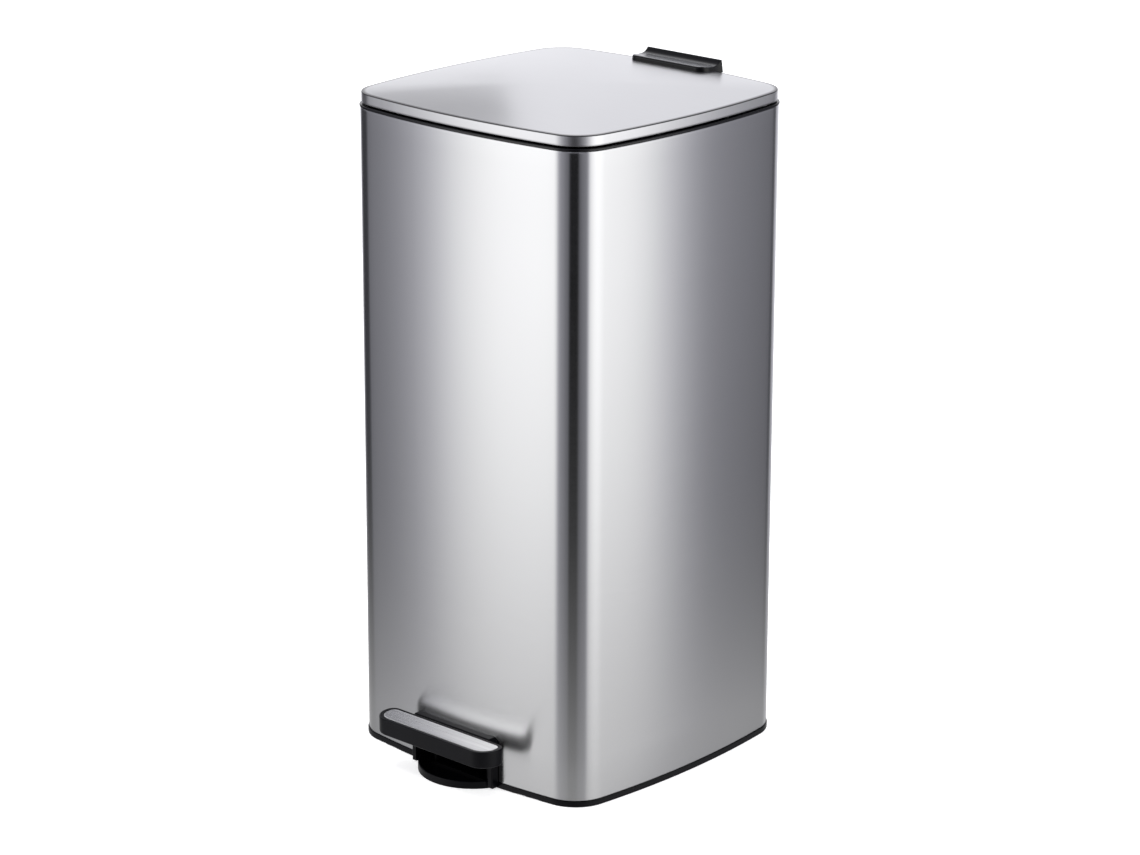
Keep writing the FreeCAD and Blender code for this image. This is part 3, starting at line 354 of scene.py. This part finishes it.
for j in range(len(rows) - 1):
    zc = (rows[j][0] + rows[j + 1][0]) / 2
    for i in range(n):
        k = (i + 1) % n
        xc, yc = (plan0[i][0] + plan0[k][0]) / 2, (plan0[i][1] + plan0[k][1]) / 2
        if yc < -140 and abs(xc) < MOUTH_X and zc < MOUTH_Z:
            continue
        if yc > 140 and abs(xc) < NOTCH_X and zc > NOTCH_Z:
            continue
        faces.append((rings[j][i], rings[j][k], rings[j + 1][k], rings[j + 1][i]))
shell = new_mesh("steel_shell", verts, faces, mat=M["body"])
bm = bmesh.new()
bm.from_mesh(shell.data)
bmesh.ops.delete(bm, geom=[v for v in bm.verts if not v.link_faces], context="VERTS")
bm.to_mesh(shell.data)
bm.free()
sol = shell.modifiers.new("thick", "SOLIDIFY")
sol.thickness = 0.7 * MM
sol.offset = -1.0
apply_mods(shell)
for p in shell.data.polygons:
    p.use_smooth = True
wn = shell.modifiers.new("edge", "EDGE_SPLIT")
wn.split_angle = math.radians(50)
apply_mods(shell)
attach(shell, "base")
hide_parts("outer_shell")

# -------------------------------------------------------------- steel lid
CREASE, CROWN, LID_IN, EDGE = 613.5, 619.0, 1.2, 0.8
rows = [(-LID_IN - 0.9, 604.6, 1.0), (-LID_IN - 0.75, 604.0, 1.0), (-LID_IN - 0.3, 603.92, 1.0), (-LID_IN, 604.3, 1.0), (-LID_IN, 606.0, 1.0), (-LID_IN, 609.0, 1.0)]
for a in (0, 12, 24, 36, 48, 60, 72, 84):
    t = math.radians(a)
    rows.append((-LID_IN - EDGE * (1 - math.cos(t)), CREASE - EDGE + EDGE * math.sin(t), 1.0))
for i in range(0, 30):
    sc = 1.0 - i / 30.0
    rows.append((-LID_IN - EDGE, CREASE + (CROWN - CREASE) * (1 - sc * sc), sc))
verts, faces, rings = [], [], []
for off, z, sc in rows:
    ring = []
    for x, y in outline(off, 36, 26):
        ring.append(len(verts))
        verts.append((x * sc, y * sc, z))
    rings.append(ring)
n = len(rings[0])
for j in range(len(rows) - 1):
    for i in range(n):
        k = (i + 1) % n
        faces.append((rings[j][i], rings[j][k], rings[j + 1][k], rings[j + 1][i]))
top = len(verts)
verts.append((0, 0, CROWN))
for i in range(n):
    faces.append((rings[-1][i], rings[-1][(i + 1) % n], top))
lid = new_mesh("steel_lid", verts, faces, mat=M["lid"])
sol = lid.modifiers.new("thick", "SOLIDIFY")
sol.thickness = 0.8 * MM
sol.offset = -1.0
apply_mods(lid)
for p in lid.data.polygons:
    p.use_smooth = True
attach(lid, "lid")
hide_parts("lid_shell")

# ------------------------------------------------------------ pedal: black pad and its steel inlay
PAD_X, PAD_B, PAD_F, PAD_RF, PAD_RB = 71.7, 159.8, 189.0, 18.5, 8.8


def bar(front_in, back_in, z, n=18, m=14):
    """Plan of the pedal bar, drawn in by front_in at the front and ends and by back_in at the back, as a ring at height z."""
    h, yf, yb = PAD_X - front_in, PAD_F - front_in, PAD_B + back_in
    rf, rb = max(PAD_RF - front_in, 0.6), max(PAD_RB - back_in, 0.6)
    right = []
    for i in range(n + 1):
        t = -math.pi / 2 + math.pi / 2 * i / n
        right.append((h - rf + rf * math.cos(t), -yf + rf + rf * math.sin(t)))
    for i in range(n + 1):
        t = math.pi / 2 * i / n
        right.append((h - rb + rb * math.cos(t), -yb - rb + rb * math.sin(t)))
    x1, x0 = right[-1][0], right[0][0]
    back = [(x1 - 2 * x1 * i / m, -yb) for i in range(1, m)]
    left = [(-x, y) for x, y in reversed(right)]
    front = [(-x0 + 2 * x0 * i / m, -yf) for i in range(1, m)]
    return [(x, y, z) for x, y in right + back + left + front]


def loft(name, rings, mat, cap_first=True, cap_last=True):
    verts, faces, idx = [], [], []
    for ring in rings:
        idx.append(list(range(len(verts), len(verts) + len(ring))))
        verts += ring
    n = len(rings[0])
    for j in range(len(rings) - 1):
        for i in range(n):
            k = (i + 1) % n
            faces.append((idx[j][i], idx[j][k], idx[j + 1][k], idx[j + 1][i]))
    if cap_first:
        faces.append(tuple(reversed(idx[0])))
    if cap_last:
        faces.append(tuple(idx[-1]))
    ob = new_mesh(name, verts, faces, mat=mat)
    bm = bmesh.new()
    bm.from_mesh(ob.data)
    bmesh.ops.recalc_face_normals(bm, faces=bm.faces)
    bm.to_mesh(ob.data)
    bm.free()
    return ob


def sharpen(ob, angle):
    for p in ob.data.polygons:
        p.use_smooth = True
    es = ob.modifiers.new("edge", "EDGE_SPLIT")
    es.split_angle = math.radians(angle)
    apply_mods(ob)


PLOW, PTOP, PROOF, IN_F, IN_B = 34.2, 49.7, 45.7, 4.4, 3.2
rings = [bar(12.0, 8.0, PROOF), bar(3.6, 3.6, PROOF), bar(3.0, 3.0, PROOF - 0.6), bar(3.0, 3.0, PLOW + 0.4), bar(2.6, 2.6, PLOW)]
for a in range(0, 91, 15):
    t = math.radians(a)
    rings.append(bar(1.5 * (1 - math.sin(t)), 1.5 * (1 - math.sin(t)), PLOW + 1.5 * (1 - math.cos(t))))
rings.append(bar(0, 0, 42.0))
for a in range(0, 91, 15):
    t = math.radians(a)
    rings.append(bar(1.0 * (1 - math.cos(t)), 1.0 * (1 - math.cos(t)), PTOP - 1.0 * (1 - math.sin(t))))
rings += [bar(IN_F - 0.5, IN_B - 0.5, PTOP), bar(IN_F - 0.1, IN_B - 0.1, PTOP - 0.15), bar(IN_F, IN_B, PTOP - 0.45), bar(IN_F, IN_B, PTOP - 1.0)]
padm = loft("pedal_pad_moulded", rings, M["pad"])
bpy.ops.mesh.primitive_cube_add(size=1.0, location=(0, -159.5 * MM, 21.3 * MM))
tool = bpy.context.object
tool.scale = (26.4 * MM, 8.0 * MM, 42.6 * MM)
bpy.context.view_layer.update()
bo = padm.modifiers.new("slot", "BOOLEAN")
bo.operation, bo.object, bo.solver = "DIFFERENCE", tool, "EXACT"
apply_mods(padm)
bpy.data.objects.remove(tool, do_unlink=True)
sharpen(padm, 40)
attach(padm, "pedal")
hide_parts("pedal_pad")

rings = [bar(IN_F + 0.14, IN_B + 0.14, PTOP - 1.0), bar(IN_F + 0.14, IN_B + 0.14, PTOP - 0.3), bar(IN_F + 0.22, IN_B + 0.22, PTOP - 0.12),
         bar(IN_F + 0.42, IN_B + 0.42, PTOP - 0.04), bar(IN_F + 0.7, IN_B + 0.7, PTOP), bar(IN_F + 4.0, IN_B + 3.0, PTOP)]
inlay = loft("pedal_inlay", rings, M["plate"])
sharpen(inlay, 40)
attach(inlay, "pedal")
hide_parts("pedal_plate")

# ------------------------------------------------------------ hinge cover on the lid
SCOOP = [(128.0, 619.15), (131.4, 619.2), (133.4, 619.05), (137.5, 618.5), (141.5, 618.1), (145.0, 617.98), (148.0, 618.2), (150.8, 618.9),
         (153.0, 620.1), (154.6, 621.6), (155.6, 622.42), (156.1, 622.5), (160.0, 622.5)]


def scoop(y):
    pts = SCOOP
    if y <= pts[0][0]:
        return pts[0][1]
    for i in range(len(pts) - 1):
        if y <= pts[i + 1][0]:
            p0, p1, p2, p3 = pts[max(i - 1, 0)], pts[i], pts[i + 1], pts[min(i + 2, len(pts) - 1)]
            t = (y - p1[0]) / (p2[0] - p1[0])
            m1 = (p2[1] - p0[1]) / max(p2[0] - p0[0], 1e-6) * (p2[0] - p1[0])
            m2 = (p3[1] - p1[1]) / max(p3[0] - p1[0], 1e-6) * (p2[0] - p1[0])
            return ((2 * t ** 3 - 3 * t * t + 1) * p1[1] + (t ** 3 - 2 * t * t + t) * m1 + (-2 * t ** 3 + 3 * t * t) * p2[1] + (t ** 3 - t * t) * m2)
    return pts[-1][1]


def lid_z(x, y):
    """Height of the lid's outer face at a point of its plan."""
    r = SIDE_R - LID_IN - EDGE
    a, b, c = r * r - CC * CC, 2 * -CC * abs(y), x * x + y * y
    sc = (b + math.sqrt(b * b + 4 * a * c)) / (2 * a)
    return CREASE + (CROWN - CREASE) * (1 - sc * sc) if sc < 1 else 611.2


HC, C_FRONT, C_BACK, C_R, NX = 44.75, 128.55, 157.15, 9.5, 40
sides_y = []
for i in range(13):
    sides_y.append(("arc", -math.pi / 2 + math.pi / 2 * i / 12))
for i in range(1, 41):
    sides_y.append(("line", C_FRONT + C_R + (C_BACK - 0.9 - C_FRONT - C_R) * i / 40))
for i in range(1, 7):
    sides_y.append(("back", math.pi / 2 * i / 6))


def cover_loop(d, db=None):
    """Right-hand side of the plan, front to back, drawn in by d. db is not used."""
    db = d if db is None else db
    pts = []
    for kind, v in sides_y:
        if kind == "arc":
            pts.append((HC - C_R + (C_R - d) * math.cos(v), C_FRONT + C_R + (C_R - d) * math.sin(v)))
        elif kind == "line":
            pts.append((HC - d, v))
        else:
            q = max(0.9 - d, 0.0)
            pts.append((HC - 0.9 + q * math.cos(v), C_BACK - 0.9 + q * math.sin(v)))
    return pts


def ring_of(pts):
    """Full closed loop: front edge, right side, back edge, left side."""
    (x0, y0), (x1, y1) = pts[0], pts[-1]
    front = [(-x0 + 2 * x0 * i / NX, y0) for i in range(NX)]
    backp = [(x1 - 2 * x1 * i / NX, y1) for i in range(NX)]
    left = [(-x, y) for x, y in reversed(pts)]
    return front + pts[:-1] + backp + left[:-1]


def lip(y):
    """Radius of the rolled edge: full at the front lip, small along the ends and at the ridge."""
    t = min(max((y - 131.0) / 9.0, 0.0), 1.0)
    return 1.75 - 1.05 * t * t * (3 - 2 * t)


verts, loops = [], []
top0 = ring_of(cover_loop(0.0))
SL = 0.1416
for f in (0.0, 0.25, 0.5, 0.75, 0.93):
    loop = []
    for x, y in top0:
        zt = scoop(y) - lip(y)
        zb = lid_z(x * 1.03, y) - 0.1 if y < 147.0 else 611.2
        zb = min(zb, zt - 0.3)
        z = zb + (zt - zb) * f
        k = 1.0 + SL * (zt - z) / HC
        loop.append((x * k, y, z))
    loops.append(loop)
for a in range(0, 91, 10):
    t = math.radians(a)
    loop = []
    base_pts = top0
    for (x, y), (xi, yi) in zip(top0, ring_of(cover_loop(1.0))):
        r = lip(y)
        d = r * (1 - math.cos(t))
        xx, yy = x + (xi - x) * d, y + (yi - y) * d
        loop.append((xx, yy, scoop(yy) - r * (1 - math.sin(t))))
    loops.append(loop)
idx = []
for loop in loops:
    idx.append(list(range(len(verts), len(verts) + len(loop))))
    verts += loop
n = len(top0)
faces = []
for j in range(len(loops) - 1):
    for i in range(n):
        k = (i + 1) % n
        faces.append((idx[j][i], idx[j][k], idx[j + 1][k], idx[j + 1][i]))
# the scooped top: rows from side to side, front to back
last = idx[-1]
NS = len(cover_loop(0.0))
right_i = [last[NX + i] for i in range(NS - 1)] + [last[NX + NS - 1]]
left_i = [last[0]] + [last[n - i] for i in range(1, NS - 1)] + [last[NX + NS - 1 + NX]]
rows_i = []
for q in range(NS):
    L, R = left_i[q], right_i[q]
    if q == 0:
        row = [last[i] for i in range(NX + 1)]
    elif q == NS - 1:
        row = [last[NX + NS - 1 + NX - i] for i in range(NX + 1)]
    else:
        row = [L]
        for i in range(1, NX):
            x = verts[L][0] + (verts[R][0] - verts[L][0]) * i / NX
            y = verts[L][1] + (verts[R][1] - verts[L][1]) * i / NX
            row.append(len(verts))
            verts.append((x, y, scoop(y)))
        row.append(R)
    rows_i.append(row)
for q in range(NS - 1):
    for i in range(NX):
        faces.append((rows_i[q][i], rows_i[q][i + 1], rows_i[q + 1][i + 1], rows_i[q + 1][i]))
cov = new_mesh("hinge_cover_moulded", verts, faces, mat=M["cover"])
bm = bmesh.new()
bm.from_mesh(cov.data)
bmesh.ops.remove_doubles(bm, verts=bm.verts, dist=0.00001)
bmesh.ops.recalc_face_normals(bm, faces=bm.faces)
bm.to_mesh(cov.data)
bm.free()
if sum(p.normal.z * p.area for p in cov.data.polygons) < 0:
    cov.data.flip_normals()
sol = cov.modifiers.new("thick", "SOLIDIFY")
sol.thickness = 1.5 * MM
sol.offset = -1.0
apply_mods(cov)
sharpen(cov, 45)
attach(cov, "lid")
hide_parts("hinge_cover")

# ------------------------------------------------------------------- stage
def staged_plane(name, size, loc, mat, rot=(0, 0, 0)):
    bpy.ops.mesh.primitive_plane_add(size=1.0, location=loc, rotation=rot)
    ob = bpy.context.object
    ob.name = name
    ob.scale = (size[0], size[1], 1)
    ob.data.materials.append(mat)
    return ob


fm, net, bsdf, co = material("floor_pale")
bsdf.inputs["Base Color"].default_value = (0.92, 0.92, 0.92, 1)
bsdf.inputs["Roughness"].default_value = 0.9
bsdf.inputs["Specular IOR Level"].default_value = 0.1
bsdf.inputs["Emission Color"].default_value = (1.0, 1.0, 1.0, 1)
bsdf.inputs["Emission Strength"].default_value = 0.62
floor = staged_plane("floor", (40, 40), (0, 0, 0), fm)
floor.visible_glossy = False

# what the steel sees of the floor: a grey pool round the object, fading outwards
card_mt = bpy.data.materials.new("floor_bounce")
card_mt.use_nodes = True
cn = Net(card_mt.node_tree)
co2 = cn.n("ShaderNodeTexCoord").outputs["Object"]
ln = cn.n("ShaderNodeVectorMath", operation="LENGTH")
cn.link(cn.scaled(co2, (5.0, 5.0, 0.0)), ln.inputs[0])
rad = cn.math("DIVIDE", ln.outputs["Value"], 2.5)
cover_f = cn.ramp(rad, [(0.0, 0.74), (0.10, 0.72), (0.18, 0.58), (0.27, 0.42), (0.42, 0.24), (0.58, 0.10), (0.8, 0.0)])
glow = cn.ramp(rad, [(0.0, 0.56), (0.10, 0.52), (0.18, 0.38), (0.27, 0.24), (0.42, 0.06), (0.58, 0.01), (0.8, 0.0)])
em = cn.n("ShaderNodeEmission")
cn.link(glow, em.inputs["Color"])
tr = cn.n("ShaderNodeBsdfTransparent")
mx = cn.n("ShaderNodeMixShader")
cn.link(cover_f, mx.inputs[0])
cn.link(tr.outputs[0], mx.inputs[1])
cn.link(em.outputs[0], mx.inputs[2])
co_out = cn.n("ShaderNodeOutputMaterial")
cn.link(mx.outputs[0], co_out.inputs[0])
card = staged_plane("floor_bounce", (5.0, 5.0), (0, 0, 0.0004), card_mt)
card.visible_camera = card.visible_diffuse = card.visible_shadow = False

# soft studio surround: brightness by compass direction and height
world = bpy.data.worlds.new("studio")
bpy.context.scene.world = world
world.use_nodes = True
w = Net(world.node_tree)
bg = w.n("ShaderNodeBackground")
wo = w.n("ShaderNodeOutputWorld")
w.link(bg.outputs[0], wo.inputs[0])
sep = w.n("ShaderNodeSeparateXYZ")
w.link(w.n("ShaderNodeTexCoord").outputs["Generated"], sep.inputs[0])
az = w.math("ARCTAN2", sep.outputs[0], w.math("MULTIPLY", sep.outputs[1], -1.0))
pos = w.range(az, -math.pi, math.pi, 0.0, 1.0)
SCALE = 2.6
GAIN = 1.19
LEFT = [(-180, 0.0), (-100, 0.0), (-96, 0.05), (-72, 0.05), (-66, 0.16), (-60, 0.24), (-56, 0.33),
        (-52, 0.47), (-48, 0.72), (-44, 1.10), (-40, 1.32), (-36, 1.46), (-28, 1.50), (-24, 1.38), (-20, 1.20), (-16, 0.95), (-12, 0.60),
        (-8, 0.43), (-4, 0.36), (4, 0.29), (12, 0.20), (17, 0.17), (20, 0.08), (22, 0.0), (180, 0.0)]
RIGHT = [(-180, 0.0), (44, 0.0), (47, 0.11), (54, 0.19), (62, 0.25), (68, 0.28), (72, 0.50), (76, 0.98), (80, 1.22), (88, 1.44), (96, 1.56),
         (104, 1.56), (112, 1.50), (120, 1.42), (126, 1.36), (130, 1.20), (134, 0.82), (138, 0.52), (142, 0.34), (148, 0.27), (154, 0.23),
         (160, 0.12), (168, 0.10), (180, 0.0)]
BACK = [(-180, 0.40), (-165, 0.60), (-146, 0.80), (-134, 0.92), (-122, 0.92), (-108, 0.25), (-100, 0.04), (-96, 0.0), (172, 0.0), (180, 0.45)]


def tint(v):
    v *= GAIN
    return (v / SCALE, v / SCALE, v * (1.0 + 0.13 * max(0.0, 1.0 - v / 1.5)) / SCALE)


el = w.math("ARCSINE", sep.outputs[2])
elp = w.range(el, -math.pi / 2, math.pi / 2, 0.0, 1.0)
# above the horizon the dark gaps between the softboxes are filled, so the lid's top is never left black
GAP = [(-180, 0.0), (-116, 0.0), (-102, 0.40), (-72, 0.40), (-62, 0.0), (8, 0.0), (20, 0.22), (50, 0.22), (62, 0.0), (180, 0.0)]
GAP_EL = [(-90, 0.0), (8, 0.0), (17, 1.0), (38, 1.0), (60, 0.5), (90, 0.5)]
EL_STOPS = [(-90, 0.45), (-50, 0.60), (-25, 0.95), (0, 1.0), (31, 1.0), (45, 0.62), (58, 0.35), (75, 0.4), (90, 0.5)]
BACK_EL = [(-90, 0.6), (-20, 1.1), (0, 1.25), (8, 1.2), (14, 0.97), (18, 0.90), (26, 1.20), (34, 1.0), (46, 0.4), (90, 0.5)]


def blend(kind, a, b):
    node = w.n("ShaderNodeMix", data_type="RGBA", blend_type=kind)
    node.inputs["Factor"].default_value = 1.0
    w.link(a, node.inputs[6])
    w.link(b, node.inputs[7])
    return node.outputs[2]


sides = []
for table in (LEFT, RIGHT, BACK, GAP):
    sides.append(w.ramp(pos, [((a + 180) / 360.0, tint(v)) for a, v in table]))
height = w.ramp(elp, [((e + 90) / 180.0, v) for e, v in EL_STOPS])
back_height = w.ramp(elp, [((e + 90) / 180.0, v) for e, v in BACK_EL])
front = blend("MULTIPLY", blend("ADD", sides[0], sides[1]), height)
gap_height = w.ramp(elp, [((e + 90) / 180.0, v) for e, v in GAP_EL])
front = blend("ADD", front, blend("MULTIPLY", sides[3], gap_height))
w.link(blend("ADD", front, blend("MULTIPLY", sides[2], back_height)), bg.inputs["Color"])
bg.inputs["Strength"].default_value = SCALE


def area(name, size, loc, target, power, glossy=True):
    d = bpy.data.lights.new(name, "AREA")
    d.shape = "RECTANGLE"
    d.size, d.size_y = size
    d.energy = power
    ob = bpy.data.objects.new(name, d)
    bpy.context.scene.collection.objects.link(ob)
    ob.location = loc
    ob.rotation_mode = "QUATERNION"
    ob.rotation_quaternion = (Vector(target) - Vector(loc)).to_track_quat("-Z", "Y")
    ob.visible_glossy = glossy
    return ob


area("overhead", (3.0, 3.0), (0.0, 0.0, 3.2), (0, 0, 0), 90.0, glossy=False)
area("front_left", (2.0, 2.0), (-2.2, -2.6, 2.2), (0, 0, 0.3), 30.0, glossy=False)

flag_mt = bpy.data.materials.new("grey_flag")
flag_mt.use_nodes = True
fn = Net(flag_mt.node_tree)
fe = fn.n("ShaderNodeEmission")
fe.inputs["Color"].default_value = (0.10, 0.10, 0.11, 1)
fo = fn.n("ShaderNodeOutputMaterial")
fn.link(fe.outputs[0], fo.inputs[0])
flag = staged_plane("grey_flag", (0.165, 0.062), (-0.268, 0.074, 0.742), flag_mt)
flag.rotation_mode = "QUATERNION"
flag.rotation_quaternion = Vector((0.646, -0.667, -0.36)).to_track_quat("Z", "Y")
flag.visible_camera = flag.visible_diffuse = flag.visible_shadow = False

bpy.context.scene.view_settings.view_transform = "Standard"
